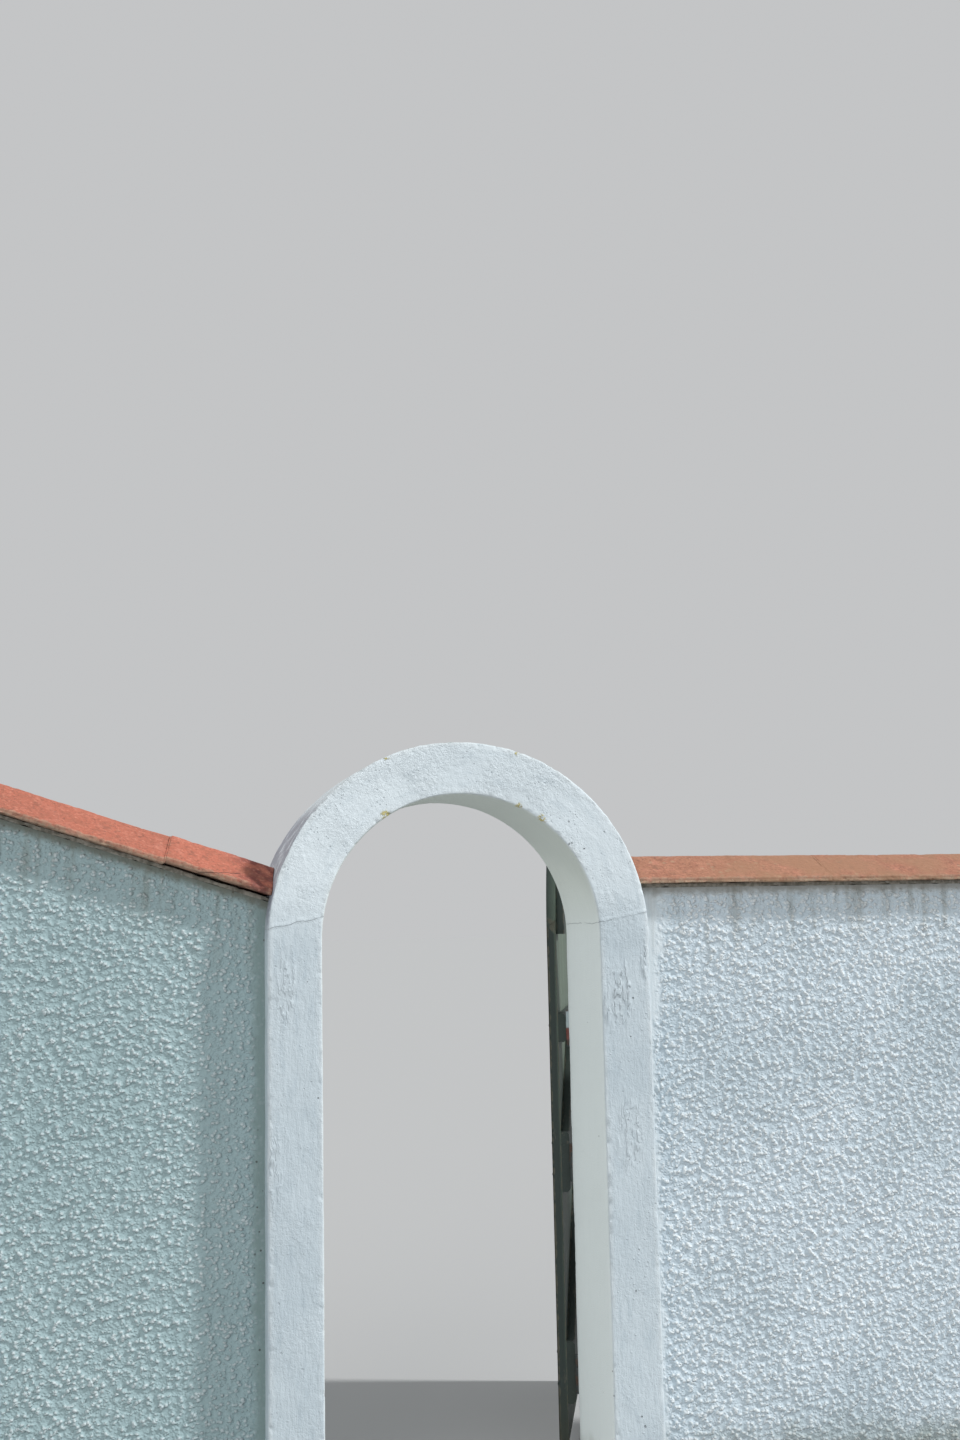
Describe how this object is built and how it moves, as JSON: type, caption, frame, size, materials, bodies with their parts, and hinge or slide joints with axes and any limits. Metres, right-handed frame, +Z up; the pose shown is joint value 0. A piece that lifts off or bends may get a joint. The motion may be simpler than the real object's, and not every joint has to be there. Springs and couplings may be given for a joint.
{
  "type": "arched garden gateway",
  "caption": "Round-headed garden gateway in a rendered wall: plain surround, raked and level wall with pitched red coping, and a boarded timber door standing open.",
  "frame": {"origin": "middle of the foot of the hinge pier, the pier on the right as seen from the street", "axes": "+X along the wall towards the level stretch, +Y through the gateway into the garden, +Z up"},
  "size_m": [3.78, 1.0878, 2.225],
  "materials": {
    "render": "painted cement render: smooth on the surround, roughcast on the walls",
    "mortar": "rough weathered mortar",
    "coping": "painted concrete slab, faded and lichened",
    "timber": "dark green gloss paint, weathered",
    "ironwork": "painted with the door, rusted at the edges"
  },
  "bodies": {
    "gateway": {"left_pier": "render", "right_pier": "render", "arch_ring": "render", "left_wall": "render", "right_wall": "render", "left_bed": "mortar", "right_bed": "mortar", "left_coping_1": "coping", "left_coping_2": "coping", "left_coping_3": "coping", "right_coping_1": "coping", "right_coping_2": "coping", "hinge_plate_top": "ironwork", "hinge_plate_middle": "ironwork", "hinge_plate_bottom": "ironwork", "bolt_keep": "ironwork"},
    "door": {"door_board_1": "timber", "door_board_2": "timber", "door_board_3": "timber", "door_board_4": "timber", "door_board_5": "timber", "door_board_6": "timber", "top_ledge": "timber", "middle_ledge": "timber", "bottom_ledge": "timber", "head_rail": "timber", "upper_brace": "timber", "lower_brace": "timber", "hinge_strap_top": "ironwork", "hinge_strap_middle": "ironwork", "hinge_strap_bottom": "ironwork", "door_pull": "ironwork", "door_bolt": "ironwork"}
  },
  "joints": [
    {"name": "door_hinge", "type": "hinge", "parent": "gateway", "child": "door", "pos_m": [-0.072, 0.168, 0], "axis": [0, 0, 1], "range_deg": [-56, 111]}
  ]
}
